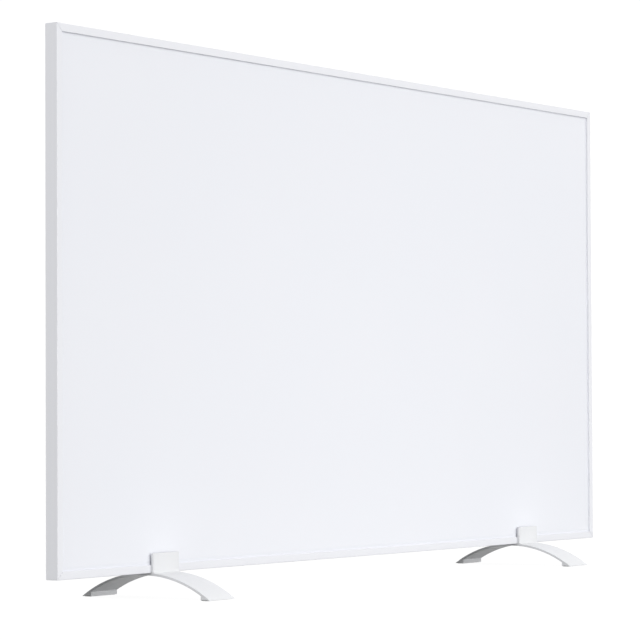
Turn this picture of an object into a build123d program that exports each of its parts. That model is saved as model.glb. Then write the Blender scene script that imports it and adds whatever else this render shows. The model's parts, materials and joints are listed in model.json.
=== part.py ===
"""Infrared panel heater on two slide-on feet, in millimetres, +Z up.

The origin lies on the floor, in the middle of the object.  The radiating front faces -Y and
+X runs to the right of someone who looks at that front.  "Depth" is measured from the frame's
front face towards the rear, along +Y.
"""
from build123d import *
from math import sqrt
import os

os.makedirs("parts", exist_ok=True)

# Clearances shared by all the pieces
screw_gap = 0.15
thread_gap = 0.05
pocket_gap = 1.0

# Panel and the extrusion of its frame
panel_width = 1200.0
panel_height = 600.0
panel_depth = 16.5
lip_width = 9.0
lip_thickness = 2.0
rear_lip_width = 15.0
rear_lip_thickness = 1.5
rail_wall = 1.8
rib_reach = 10.0
rib_thickness = 1.2
rail_edge_radius = 0.6
mitre_gap = 0.2
edge_gap = 0.3

# Sheets between the lips, in their order from the front
plate_thickness = 0.8
gasket_thickness = 1.0
film_thickness = 0.2
element_thickness = 0.2
reflector_thickness = 0.2
cover_thickness = 0.6
groove_gap = 0.2
film_margin = 4.0

# Corner keys and their countersunk screws
key_leg = 45.0
key_gap = 0.1
key_screw_inset = 28.0
key_screw_radius = 1.5
key_screw_length = 8.0
key_screw_head_radius = 2.7
key_screw_socket_radius = 1.0
key_screw_socket_depth = 1.4

# Heating element: upright runs of one foil track, joined in turn at the top and the bottom
element_margin = 14.0
element_runs = 24
track_gap = 12.0
stud_radius = 2.5
stud_foot_radius = 6.0
stud_height = 24.0

# Wall and ceiling fixing: rivet nuts in the rear cover
insert_spacing_x = 900.0
insert_spacing_z = 400.0
insert_bore_radius = 2.5
insert_sleeve_radius = 4.4
insert_flange_radius = 6.0
insert_flange_thickness = 0.8
insert_length = 9.0
insert_gap = 0.1

# Connection box on the rear cover
box_x = 180.0
box_rise = 120.0
box_length = 110.0
box_width = 66.0
box_wall = 2.2
box_spare_depth = 1.4
box_corner_radius = 6.0
box_boss_radius = 5.0
box_boss_inset = 9.0
box_screw_radius = 1.7
box_screw_length = 12.0
box_screw_head_radius = 3.2
box_screw_head_height = 1.6
box_screw_slot = 0.8
lid_thickness = 2.6
seal_margin = 0.3
seal_width = 1.6
seal_thickness = 0.8
box_rivet_spacing_x = 76.0
box_rivet_spacing_z = 16.0
box_rivet_radius = 1.6
box_rivet_head_radius = 3.4
box_rivet_head_height = 1.2
box_rivet_tail_radius = 2.6
box_rivet_tail_height = 2.2
board_recess_margin = 6.0
board_recess_depth = 3.2

# Lead-through between the connection box and the board
window_length = 30.0
window_height = 12.0
window_rise = 20.0
grommet_wall = 2.0
grommet_flange = 1.2
grommet_thickness = 1.0
grommet_gap = 0.1

# Terminal block in the box
pole_spacing = 10.0
block_length = 32.0
block_width = 18.0
block_depth = 14.0
block_rise = 2.0
sleeve_radius = 3.0
sleeve_bore_radius = 1.6
pole_screw_radius = 1.4
pole_screw_spacing = 10.0
pole_screw_length = 4.8
pole_screw_slot = 0.6
block_edge = 0.6
block_screw_radius = 1.4
block_screw_head_radius = 2.4
block_screw_head_height = 1.5

# Protective-earth stud, nut and ring terminal
earth_x = -26.0
earth_stud_radius = 2.0
earth_stud_length = 9.0
earth_stud_head_radius = 3.6
earth_stud_head_height = 1.4
earth_nut_flats = 7.0
earth_nut_height = 3.2
ring_thickness = 0.8
ring_radius = 4.2
ring_barrel_radius = 1.7
ring_barrel_start = 3.6
ring_barrel_end = 10.0

# Thermal cut-outs, one behind the other in the live lead
cutout_first = 90.0
cutout_spacing = 80.0
cutout_cap_radius = 8.0
cutout_cap_height = 1.6
cutout_body_radius = 7.0
cutout_body_height = 3.6
blade_length = 7.0
blade_width = 6.3
blade_thickness = 0.8
blade_inner = 5.0

# Insulated leads and their channels in the board
lead_radius = 1.1
lead_bend_radius = 6.0
lead_entry = 6.0
channel_width = 3.4

# Cable gland in the box's lower wall, empty
gland_thread_radius = 8.0
gland_flats = 20.0
gland_flange_height = 4.0
gland_neck_radius = 7.4
gland_neck_height = 9.0
gland_seal_radius = 5.8
gland_cord_radius = 3.6
gland_nut_height = 13.0
gland_nut_bore_radius = 4.4
gland_nut_top_thickness = 2.5
gland_nut_standoff = 0.5
gland_locknut_height = 4.0
gland_shank_height = 8.0
gland_gap = 0.1

# Feet: lengths of one extrusion, arched from front to rear, with a saddle for the panel
foot_spacing = 820.0
foot_width = 48.0
foot_length = 180.0
crown_height = 29.0
foot_wall = 2.8
toe_length = 13.5
toe_lift = 0.4
toe_pad_width = 8.0
toe_pad_thickness = 1.0
toe_pad_inset = 8.0
toe_pad_margin = 1.0
tab_height = 22.0
tab_thickness = 3.0
tab_gap = 0.3
tab_root_radius = 3.0
tab_edge_radius = 0.5
seat_gap = 0.3

# Clamp in each foot's rear tab: threaded screw, knurled knob and swivelling pad
clamp_rise = 10.0
clamp_space = 5.0
clamp_pad_radius = 4.5
clamp_pad_thickness = 2.5
clamp_pad_gap = 0.3
clamp_screw_radius = 2.5
clamp_tip_radius = 1.55
clamp_tip_length = 1.5
clamp_knob_radius = 7.0
clamp_knob_length = 9.0
clamp_knob_gap = 1.5
clamp_knob_floor = 3.0
knob_flutes = 12
knob_flute_radius = 1.1
knob_edge_radius = 0.8

# Depths that follow from the sheets
plate_rear = lip_thickness + plate_thickness
front_film_rear = plate_rear + film_thickness
element_rear = front_film_rear + element_thickness
rear_film_rear = element_rear + film_thickness
board_front = rear_film_rear + reflector_thickness
cover_rear = panel_depth - rear_lip_thickness
cover_front = cover_rear - cover_thickness
front_rib = plate_rear + gasket_thickness
rear_rib = cover_front - groove_gap - rib_thickness
chamber_front = front_rib + rib_thickness
chamber_depth = rear_rib - chamber_front
box_floor = cover_rear + box_wall
box_space = max(gland_flats, block_depth + block_screw_head_height) + 2 * box_spare_depth
box_depth = box_wall + box_space
lid_front = cover_rear + box_depth
blade_rear = board_front + cutout_cap_height + cutout_body_height + blade_thickness
lead_depth = blade_rear + lead_radius
pole_depth = box_floor + block_depth / 2

# Heights and places that follow from the sizes
middle_height = crown_height + panel_height / 2
box_height = crown_height + box_rise
sheet_width = panel_width - 2 * (rail_wall + edge_gap)
sheet_height = panel_height - 2 * (rail_wall + edge_gap)
core_width = panel_width - 2 * (rib_reach + edge_gap)
core_height = panel_height - 2 * (rib_reach + edge_gap)
key_width = rib_reach - rail_wall - 2 * key_gap
key_line = rail_wall + key_gap + key_width / 2
key_spots = [
    (side * (panel_width / 2 - across), level * (panel_height / 2 - down))
    for side in (-1, 1)
    for level in (-1, 1)
    for across, down in ((key_screw_inset, key_line), (key_line, key_screw_inset))
]
element_width = core_width - 2 * element_margin
element_height = core_height - 2 * element_margin
run_pitch = element_width / element_runs
track_width = run_pitch - track_gap
stud_x = (element_width - run_pitch) / 2
stud_z = stud_height - core_height / 2
stud_spots = [(-stud_x, stud_z), (stud_x, stud_z)]
lead_z = box_height + window_rise - middle_height
cutout_spots = [(cutout_first - box_x, lead_z), (cutout_first + cutout_spacing - box_x, lead_z)]


def rearwards(depth):
    """Plane seen from behind, its origin on the panel's middle; it grows towards the rear."""
    return Plane(origin=(0, depth - panel_depth / 2, middle_height), x_dir=(-1, 0, 0), z_dir=(0, 1, 0))


def box_plane(depth):
    """The same kind of plane, with its origin on the middle of the connection box."""
    return Plane(origin=(box_x, depth - panel_depth / 2, box_height), x_dir=(-1, 0, 0), z_dir=(0, 1, 0))


# ---------------------------------------------------------------- frame of four mitred rails
rail_ribs = (
    (0, lip_thickness, lip_width),
    (front_rib, rib_thickness, rib_reach),
    (rear_rib, rib_thickness, rib_reach),
    (cover_rear, rear_lip_thickness, rear_lip_width),
)
rails = {
    "frame_bottom": (Vector(0, 0, 1), panel_height, panel_width),
    "frame_top": (Vector(0, 0, -1), panel_height, panel_width),
    "frame_left": (Vector(1, 0, 0), panel_width, panel_height),
    "frame_right": (Vector(-1, 0, 0), panel_width, panel_height),
}
for name, (inwards, span, length) in rails.items():
    edge = Vector(0, -panel_depth / 2, middle_height) - inwards * (span / 2)
    rail_plane = Plane(origin=edge, x_dir=inwards, z_dir=inwards.cross(Vector(0, 1, 0)))
    with BuildPart() as rail:
        # The section's x runs inwards from the outer edge and its y from front to rear
        with BuildSketch(rail_plane) as section:
            Rectangle(rail_wall, panel_depth, align=(Align.MIN, Align.MIN))
            for depth, thickness, reach in rail_ribs:
                with Locations((0, depth)):
                    Rectangle(reach, thickness, align=(Align.MIN, Align.MIN))
            fillet(section.vertices().group_by(Axis.X)[0], radius=rail_edge_radius)
        extrude(amount=length / 2, both=True)
        for end in (1, -1):
            corner = rail_plane.from_local_coords(Vector(0, 0, end * (length - mitre_gap) / 2))
            split(
                bisect_by=Plane(origin=corner, z_dir=rail_plane.z_dir * end + rail_plane.x_dir),
                keep=Keep.BOTTOM,
            )
        with Locations(rearwards(panel_depth)):
            with Locations(*key_spots):
                CounterSinkHole(
                    radius=key_screw_radius + screw_gap,
                    counter_sink_radius=key_screw_head_radius + screw_gap,
                    depth=panel_depth - rear_rib + key_gap,
                    counter_sink_angle=90,
                )
    rail.part.label = name
    export_step(rail.part, f"parts/{name}.step")

# ------------------------------------------------------------ corner keys and their screws
with BuildPart() as corner_keys:
    with BuildSketch(rearwards(chamber_front + key_gap)):
        outer = rail_wall + key_gap
        with Locations((panel_width / 2 - outer, panel_height / 2 - outer)):
            Rectangle(key_leg, key_width, align=(Align.MAX, Align.MAX))
            Rectangle(key_width, key_leg, align=(Align.MAX, Align.MAX))
        mirror(about=Plane.YZ)
        mirror(about=Plane.XZ)
    extrude(amount=chamber_depth - 2 * key_gap)
    with Locations(rearwards(panel_depth)):
        with Locations(*key_spots):
            Hole(radius=key_screw_radius + thread_gap, depth=key_screw_length + key_gap)
corner_keys.part.label = "corner_keys"
export_step(corner_keys.part, "parts/corner_keys.step")

with BuildPart() as corner_screws:
    with Locations(rearwards(panel_depth)):
        with Locations(*key_spots):
            Cylinder(key_screw_radius, key_screw_length, align=(Align.CENTER, Align.CENTER, Align.MAX))
            Cone(
                key_screw_radius,
                key_screw_head_radius,
                key_screw_head_radius - key_screw_radius,
                align=(Align.CENTER, Align.CENTER, Align.MAX),
            )
    with BuildSketch(rearwards(panel_depth)):
        with Locations(*key_spots):
            RegularPolygon(key_screw_socket_radius, 6)
    extrude(amount=-key_screw_socket_depth, mode=Mode.SUBTRACT)
corner_screws.part.label = "corner_screws"
export_step(corner_screws.part, "parts/corner_screws.step")

# ------------------------------------------------------- radiating plate and its edge gasket
with BuildPart() as front_plate:
    with BuildSketch(rearwards(lip_thickness)):
        Rectangle(sheet_width, sheet_height)
    extrude(amount=plate_thickness)
front_plate.part.label = "front_plate"
export_step(front_plate.part, "parts/front_plate.step")

with BuildPart() as plate_gasket:
    with BuildSketch(rearwards(plate_rear)):
        Rectangle(sheet_width, sheet_height)
        Rectangle(core_width, core_height, mode=Mode.SUBTRACT)
    extrude(amount=gasket_thickness)
plate_gasket.part.label = "plate_gasket"
export_step(plate_gasket.part, "parts/plate_gasket.step")

# ----------------------------------------------------------- heating element and its films
with BuildPart() as front_film:
    with BuildSketch(rearwards(plate_rear)):
        Rectangle(core_width - film_margin, core_height - film_margin)
    extrude(amount=film_thickness)
front_film.part.label = "front_film"
export_step(front_film.part, "parts/front_film.step")

with BuildPart() as heating_element:
    with BuildSketch(rearwards(front_film_rear)):
        with GridLocations(run_pitch, 0, element_runs, 1):
            Rectangle(track_width, element_height)
        for turn in range(element_runs - 1):
            middle = (turn + 1 - element_runs / 2) * run_pitch
            level = (1 if turn % 2 == 0 else -1) * (element_height - track_width) / 2
            with Locations((middle, level)):
                Rectangle(track_gap, track_width)
    extrude(amount=element_thickness)
heating_element.part.label = "heating_element"
export_step(heating_element.part, "parts/heating_element.step")

with BuildPart() as rear_film:
    with BuildSketch(rearwards(element_rear)):
        Rectangle(core_width - film_margin, core_height - film_margin)
        with Locations(*stud_spots):
            Circle(stud_foot_radius + screw_gap, mode=Mode.SUBTRACT)
    extrude(amount=film_thickness)
rear_film.part.label = "rear_film"
export_step(rear_film.part, "parts/rear_film.step")

with BuildPart() as reflector_foil:
    with BuildSketch(rearwards(rear_film_rear)):
        Rectangle(core_width - film_margin, core_height - film_margin)
        with Locations(*stud_spots):
            Circle(stud_foot_radius + pocket_gap, mode=Mode.SUBTRACT)
    extrude(amount=reflector_thickness)
reflector_foil.part.label = "reflector_foil"
export_step(reflector_foil.part, "parts/reflector_foil.step")

with BuildPart() as element_studs:
    with BuildSketch(rearwards(element_rear)):
        with Locations(*stud_spots):
            Circle(stud_foot_radius)
    extrude(amount=board_front - element_rear)
    with BuildSketch(rearwards(element_rear)):
        with Locations(*stud_spots):
            Circle(stud_radius)
    extrude(amount=blade_rear - element_rear)
element_studs.part.label = "element_studs"
export_step(element_studs.part, "parts/element_studs.step")

# ---------------------------------------------------------------------- insulation board
channel_start = (window_length - window_height) / 2
channel_routes = (
    [(channel_start - box_x, lead_z), (stud_x, lead_z), (stud_x, stud_z)],
    [(-channel_start - box_x, lead_z), (-stud_x, lead_z), (-stud_x, stud_z)],
)
with BuildPart() as insulation_board:
    with BuildSketch(rearwards(board_front)):
        Rectangle(core_width, core_height)
    extrude(amount=cover_front - board_front)
    with BuildSketch(rearwards(cover_front)):
        for route in channel_routes:
            with BuildLine():
                FilletPolyline(*route, radius=lead_bend_radius)
            trace(line_width=channel_width)
        with Locations(*stud_spots):
            Circle(stud_radius + pocket_gap)
    extrude(amount=lead_depth - lead_radius - pocket_gap - cover_front, mode=Mode.SUBTRACT)
    with BuildSketch(box_plane(cover_front)):
        Rectangle(box_length - 2 * board_recess_margin, box_width - 2 * board_recess_margin)
    extrude(amount=-board_recess_depth, mode=Mode.SUBTRACT)
    with BuildSketch(box_plane(cover_front)):
        with Locations((0, window_rise)):
            SlotOverall(window_length, window_height)
    extrude(amount=lead_depth - lead_radius - pocket_gap - cover_front, mode=Mode.SUBTRACT)
    with BuildSketch(rearwards(board_front)):
        with Locations(*cutout_spots):
            Circle(cutout_cap_radius + pocket_gap)
            Rectangle(2 * (blade_inner + blade_length) + pocket_gap, blade_width + pocket_gap)
        with Locations(*stud_spots):
            Circle(stud_radius + pocket_gap)
        with GridLocations(insert_spacing_x, insert_spacing_z, 2, 2):
            Circle(insert_sleeve_radius + pocket_gap)
    extrude(amount=cover_front - board_front, mode=Mode.SUBTRACT)
insulation_board.part.label = "insulation_board"
export_step(insulation_board.part, "parts/insulation_board.step")

# ---------------------------------------------------------------------- thermal cut-outs
with BuildPart() as cutout_caps:
    with BuildSketch(rearwards(board_front)):
        with Locations(*cutout_spots):
            Circle(cutout_cap_radius)
    extrude(amount=cutout_cap_height)
    fillet(cutout_caps.edges().group_by(Axis.Y)[0], radius=cutout_cap_height / 4)
cutout_caps.part.label = "cutout_caps"
export_step(cutout_caps.part, "parts/cutout_caps.step")

with BuildPart() as cutout_bodies:
    with BuildSketch(rearwards(board_front + cutout_cap_height)):
        with Locations(*cutout_spots):
            Circle(cutout_body_radius)
    extrude(amount=cutout_body_height)
cutout_bodies.part.label = "cutout_bodies"
export_step(cutout_bodies.part, "parts/cutout_bodies.step")

with BuildPart() as cutout_blades:
    with BuildSketch(rearwards(blade_rear - blade_thickness)):
        with Locations(*cutout_spots):
            with Locations((blade_inner, 0)):
                Rectangle(blade_length, blade_width, align=(Align.MIN, Align.CENTER))
            with Locations((-blade_inner, 0)):
                Rectangle(blade_length, blade_width, align=(Align.MAX, Align.CENTER))
    extrude(amount=blade_thickness)
cutout_blades.part.label = "cutout_blades"
export_step(cutout_blades.part, "parts/cutout_blades.step")

# ------------------------------------------------------------------- leads, end to end
blade_reach = blade_inner + blade_length / 2
block_top = block_rise + block_width / 2
ring_depth = box_floor + ring_thickness / 2
first_cutout = cutout_first
second_cutout = cutout_first + cutout_spacing
stud_left = stud_x + box_x
stud_right = box_x - stud_x
stud_drop = middle_height + stud_z - box_height
lead_routes = {
    "live_lead": [
        (pole_spacing, block_top - lead_entry, pole_depth),
        (pole_spacing, window_rise, pole_depth),
        (pole_spacing, window_rise, lead_depth),
        (first_cutout - blade_reach, window_rise, lead_depth),
    ],
    "link_lead": [
        (first_cutout + blade_reach, window_rise, lead_depth),
        (second_cutout - blade_reach, window_rise, lead_depth),
    ],
    "element_lead": [
        (second_cutout + blade_reach, window_rise, lead_depth),
        (stud_left, window_rise, lead_depth),
        (stud_left, stud_drop, lead_depth),
    ],
    "neutral_lead": [
        (0, block_top - lead_entry, pole_depth),
        (0, window_rise, pole_depth),
        (0, window_rise, lead_depth),
        (stud_right, window_rise, lead_depth),
        (stud_right, stud_drop, lead_depth),
    ],
    "earth_lead": [
        (-pole_spacing, block_top - lead_entry, pole_depth),
        (-pole_spacing, window_rise, pole_depth),
        (earth_x, window_rise, ring_depth + ring_barrel_radius),
        (earth_x, ring_barrel_end, ring_depth + ring_barrel_radius),
    ],
}
for name, route in lead_routes.items():
    # A route's points are seen from behind, from the middle of the box, with their depth last
    points = [box_plane(depth).from_local_coords(Vector(x, z, 0)) for x, z, depth in route]
    with BuildPart() as lead:
        with BuildLine() as path:
            if len(points) > 2:
                FilletPolyline(*points, radius=lead_bend_radius)
            else:
                Line(*points)
        with BuildSketch(Plane(origin=path.line @ 0, z_dir=path.line % 0)):
            Circle(lead_radius)
        sweep()
    lead.part.label = name
    export_step(lead.part, f"parts/{name}.step")

# ------------------------------------------------------ rear cover and the fixing inserts
with BuildPart() as rear_cover:
    with BuildSketch(rearwards(cover_front)):
        Rectangle(sheet_width, sheet_height)
        with Locations(*key_spots):
            Circle(key_screw_radius + screw_gap, mode=Mode.SUBTRACT)
        with GridLocations(insert_spacing_x, insert_spacing_z, 2, 2):
            Circle(insert_sleeve_radius + insert_gap, mode=Mode.SUBTRACT)
    extrude(amount=cover_thickness)
    with BuildSketch(box_plane(cover_front)):
        with Locations((0, window_rise)):
            SlotOverall(window_length, window_height)
        with GridLocations(box_rivet_spacing_x, box_rivet_spacing_z, 2, 2):
            Circle(box_rivet_radius + screw_gap)
        with Locations((earth_x, 0)):
            Circle(earth_stud_radius + screw_gap)
    extrude(amount=cover_thickness, mode=Mode.SUBTRACT)
rear_cover.part.label = "rear_cover"
export_step(rear_cover.part, "parts/rear_cover.step")

with BuildPart() as wall_inserts:
    with BuildSketch(rearwards(cover_rear + insert_flange_thickness)):
        with GridLocations(insert_spacing_x, insert_spacing_z, 2, 2):
            Circle(insert_flange_radius)
    extrude(amount=-insert_flange_thickness)
    with BuildSketch(rearwards(cover_rear + insert_flange_thickness)):
        with GridLocations(insert_spacing_x, insert_spacing_z, 2, 2):
            Circle(insert_sleeve_radius)
    extrude(amount=-insert_length)
    with BuildSketch(rearwards(cover_rear + insert_flange_thickness)):
        with GridLocations(insert_spacing_x, insert_spacing_z, 2, 2):
            Circle(insert_bore_radius)
    extrude(amount=-insert_length, mode=Mode.SUBTRACT)
wall_inserts.part.label = "wall_inserts"
export_step(wall_inserts.part, "parts/wall_inserts.step")

# ------------------------------------------------------------------------- connection box
boss_spacing_x = box_length - 2 * box_boss_inset
boss_spacing_z = box_width - 2 * box_boss_inset
box_centre_y = box_floor + box_space / 2 - panel_depth / 2
box_underside = box_height - box_width / 2


def gland_plane(drop):
    """Plane across the gland's axis, a distance below the box's underside, growing downwards."""
    return Plane(origin=(box_x, box_centre_y, box_underside - drop), x_dir=(1, 0, 0), z_dir=(0, 0, -1))


with BuildPart() as box_base:
    with BuildSketch(box_plane(cover_rear)):
        RectangleRounded(box_length, box_width, box_corner_radius)
    extrude(amount=box_depth)
    with BuildSketch(box_plane(box_floor)):
        RectangleRounded(box_length - 2 * box_wall, box_width - 2 * box_wall, box_corner_radius - box_wall)
    extrude(amount=box_depth, mode=Mode.SUBTRACT)
    with BuildSketch(box_plane(cover_rear)):
        with GridLocations(boss_spacing_x, boss_spacing_z, 2, 2):
            Circle(box_boss_radius)
    extrude(amount=box_depth)
    with BuildSketch(box_plane(lid_front)):
        with GridLocations(boss_spacing_x, boss_spacing_z, 2, 2):
            Circle(box_screw_radius + screw_gap)
    extrude(amount=-box_screw_length, mode=Mode.SUBTRACT)
    with BuildSketch(box_plane(cover_rear)):
        with Locations((0, window_rise)):
            SlotOverall(window_length, window_height)
        with GridLocations(box_rivet_spacing_x, box_rivet_spacing_z, 2, 2):
            Circle(box_rivet_radius + screw_gap)
        with Locations((earth_x, 0)):
            Circle(earth_stud_radius + screw_gap)
        with Locations((pole_spacing / 2, block_rise)):
            Circle(block_screw_radius + thread_gap)
    extrude(amount=box_wall, mode=Mode.SUBTRACT)
    with BuildSketch(gland_plane(-box_wall)):
        Circle(gland_thread_radius + gland_gap)
    extrude(amount=box_wall, mode=Mode.SUBTRACT)
box_base.part.label = "box_base"
export_step(box_base.part, "parts/box_base.step")


def draw_seal_ring():
    """The seal's outline in the active sketch, just inside the edge of the box."""
    outer_length = box_length - 2 * seal_margin
    outer_width = box_width - 2 * seal_margin
    RectangleRounded(outer_length, outer_width, box_corner_radius - seal_margin)
    RectangleRounded(
        outer_length - 2 * seal_width,
        outer_width - 2 * seal_width,
        box_corner_radius - seal_margin - seal_width,
        mode=Mode.SUBTRACT,
    )


with BuildPart() as box_lid:
    with BuildSketch(box_plane(lid_front)):
        RectangleRounded(box_length, box_width, box_corner_radius)
    extrude(amount=lid_thickness)
    fillet(box_lid.edges().group_by(Axis.Y)[-1], radius=lid_thickness / 3)
    with BuildSketch(box_plane(lid_front)):
        with GridLocations(boss_spacing_x, boss_spacing_z, 2, 2):
            Circle(box_screw_radius + screw_gap)
    extrude(amount=lid_thickness, mode=Mode.SUBTRACT)
    with BuildSketch(box_plane(lid_front)):
        draw_seal_ring()
    extrude(amount=seal_thickness, mode=Mode.SUBTRACT)
box_lid.part.label = "box_lid"
export_step(box_lid.part, "parts/box_lid.step")

with BuildPart() as box_seal:
    with BuildSketch(box_plane(lid_front)):
        draw_seal_ring()
    extrude(amount=seal_thickness)
box_seal.part.label = "box_seal"
export_step(box_seal.part, "parts/box_seal.step")

with BuildPart() as box_screws:
    with BuildSketch(box_plane(lid_front + lid_thickness)):
        with GridLocations(boss_spacing_x, boss_spacing_z, 2, 2):
            Circle(box_screw_head_radius)
    extrude(amount=box_screw_head_height)
    fillet(box_screws.edges().group_by(Axis.Y)[-1], radius=box_screw_head_height / 2)
    with BuildSketch(box_plane(lid_front + lid_thickness + box_screw_head_height)):
        with GridLocations(boss_spacing_x, boss_spacing_z, 2, 2):
            Rectangle(box_screw_head_radius, box_screw_slot)
            Rectangle(box_screw_slot, box_screw_head_radius)
    extrude(amount=-box_screw_slot, mode=Mode.SUBTRACT)
    with BuildSketch(box_plane(lid_front + lid_thickness)):
        with GridLocations(boss_spacing_x, boss_spacing_z, 2, 2):
            Circle(box_screw_radius)
    extrude(amount=-box_screw_length)
box_screws.part.label = "box_screws"
export_step(box_screws.part, "parts/box_screws.step")

with BuildPart() as box_rivets:
    with BuildSketch(box_plane(box_floor)):
        with GridLocations(box_rivet_spacing_x, box_rivet_spacing_z, 2, 2):
            Circle(box_rivet_head_radius)
    extrude(amount=box_rivet_head_height)
    fillet(box_rivets.edges().group_by(Axis.Y)[-1], radius=box_rivet_head_height / 2)
    with BuildSketch(box_plane(cover_front)):
        with GridLocations(box_rivet_spacing_x, box_rivet_spacing_z, 2, 2):
            Circle(box_rivet_radius)
    extrude(amount=box_floor - cover_front)
    with BuildSketch(box_plane(cover_front)):
        with GridLocations(box_rivet_spacing_x, box_rivet_spacing_z, 2, 2):
            Circle(box_rivet_tail_radius)
    extrude(amount=-box_rivet_tail_height)
box_rivets.part.label = "box_rivets"
export_step(box_rivets.part, "parts/box_rivets.step")

with BuildPart() as lead_grommet:
    with BuildSketch(box_plane(box_floor)):
        with Locations((0, window_rise)):
            SlotOverall(window_length + 2 * grommet_flange, window_height + 2 * grommet_flange)
    extrude(amount=grommet_thickness)
    with BuildSketch(box_plane(cover_front)):
        with Locations((0, window_rise)):
            SlotOverall(window_length - 2 * grommet_gap, window_height - 2 * grommet_gap)
    extrude(amount=box_floor - cover_front)
    with BuildSketch(box_plane(cover_front)):
        with Locations((0, window_rise)):
            SlotOverall(window_length - 2 * grommet_wall, window_height - 2 * grommet_wall)
    extrude(amount=box_floor - cover_front + grommet_thickness, mode=Mode.SUBTRACT)
lead_grommet.part.label = "lead_grommet"
export_step(lead_grommet.part, "parts/lead_grommet.step")

# ------------------------------------------------------- terminal block and earth terminal
pole_spots = [(pole * pole_spacing, block_rise) for pole in (-1, 0, 1)]
pole_screw_spots = [(x, z + end * pole_screw_spacing / 2) for x, z in pole_spots for end in (-1, 1)]
sleeve_plane = Plane(
    origin=(box_x, pole_depth - panel_depth / 2, box_height + block_rise - block_width / 2),
    x_dir=(-1, 0, 0),
    z_dir=(0, 0, 1),
)
pole_row = [(x, 0) for x, z in pole_spots]

with BuildPart() as terminal_block:
    with BuildSketch(box_plane(box_floor)):
        with Locations((0, block_rise)):
            Rectangle(block_length, block_width)
    extrude(amount=block_depth)
    chamfer(terminal_block.edges().group_by(Axis.Y)[-1], length=block_edge)
    with BuildSketch(sleeve_plane):
        with Locations(*pole_row):
            Circle(sleeve_radius + thread_gap)
    extrude(amount=block_width, mode=Mode.SUBTRACT)
    with BuildSketch(box_plane(pole_depth)):
        with Locations(*pole_screw_spots):
            Circle(pole_screw_radius + screw_gap)
    extrude(amount=block_depth, mode=Mode.SUBTRACT)
    with BuildSketch(box_plane(box_floor)):
        with Locations((pole_spacing / 2, block_rise)):
            Circle(block_screw_radius + thread_gap)
    extrude(amount=block_depth, mode=Mode.SUBTRACT)
terminal_block.part.label = "terminal_block"
export_step(terminal_block.part, "parts/terminal_block.step")

with BuildPart() as terminal_sleeves:
    with BuildSketch(sleeve_plane):
        with Locations(*pole_row):
            Circle(sleeve_radius)
            Circle(sleeve_bore_radius, mode=Mode.SUBTRACT)
    extrude(amount=block_width)
    with BuildSketch(box_plane(pole_depth)):
        with Locations(*pole_screw_spots):
            Circle(pole_screw_radius + thread_gap)
    extrude(amount=block_depth, mode=Mode.SUBTRACT)
terminal_sleeves.part.label = "terminal_sleeves"
export_step(terminal_sleeves.part, "parts/terminal_sleeves.step")

with BuildPart() as terminal_screws:
    with BuildSketch(box_plane(pole_depth + sleeve_bore_radius)):
        with Locations(*pole_screw_spots):
            Circle(pole_screw_radius)
    extrude(amount=pole_screw_length)
    with BuildSketch(box_plane(pole_depth + sleeve_bore_radius + pole_screw_length)):
        with Locations(*pole_screw_spots):
            Rectangle(2 * pole_screw_radius, pole_screw_slot)
    extrude(amount=-pole_screw_slot, mode=Mode.SUBTRACT)
terminal_screws.part.label = "terminal_screws"
export_step(terminal_screws.part, "parts/terminal_screws.step")

with BuildPart() as block_screw:
    with BuildSketch(box_plane(box_floor + block_depth)):
        with Locations((pole_spacing / 2, block_rise)):
            Circle(block_screw_head_radius)
    extrude(amount=block_screw_head_height)
    with BuildSketch(box_plane(box_floor + block_depth)):
        with Locations((pole_spacing / 2, block_rise)):
            Circle(block_screw_radius)
    extrude(amount=-(block_depth + box_wall))
block_screw.part.label = "block_screw"
export_step(block_screw.part, "parts/block_screw.step")

with BuildPart() as earth_stud:
    with BuildSketch(box_plane(cover_front)):
        with Locations((earth_x, 0)):
            Circle(earth_stud_head_radius)
    extrude(amount=-earth_stud_head_height)
    with BuildSketch(box_plane(cover_front)):
        with Locations((earth_x, 0)):
            Circle(earth_stud_radius)
    extrude(amount=earth_stud_length)
earth_stud.part.label = "earth_stud"
export_step(earth_stud.part, "parts/earth_stud.step")

with BuildPart() as earth_nut:
    with BuildSketch(box_plane(box_floor + ring_thickness)):
        with Locations((earth_x, 0)):
            RegularPolygon(earth_nut_flats / 2, 6, major_radius=False)
            Circle(earth_stud_radius + thread_gap, mode=Mode.SUBTRACT)
    extrude(amount=earth_nut_height)
earth_nut.part.label = "earth_nut"
export_step(earth_nut.part, "parts/earth_nut.step")

barrel_y = ring_depth + ring_barrel_radius - panel_depth / 2
barrel_plane = Plane(
    origin=(box_x - earth_x, barrel_y, box_height + ring_barrel_start),
    x_dir=(-1, 0, 0),
    z_dir=(0, 0, 1),
)
with BuildPart() as ring_terminal:
    with BuildSketch(box_plane(box_floor)):
        with Locations((earth_x, 0)):
            Circle(ring_radius)
            Rectangle(2 * ring_barrel_radius, ring_barrel_end, align=(Align.CENTER, Align.MIN))
            Circle(earth_stud_radius + thread_gap, mode=Mode.SUBTRACT)
    extrude(amount=ring_thickness)
    with BuildSketch(barrel_plane):
        Circle(ring_barrel_radius)
    extrude(amount=ring_barrel_end - ring_barrel_start)
ring_terminal.part.label = "ring_terminal"
export_step(ring_terminal.part, "parts/ring_terminal.step")

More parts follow.
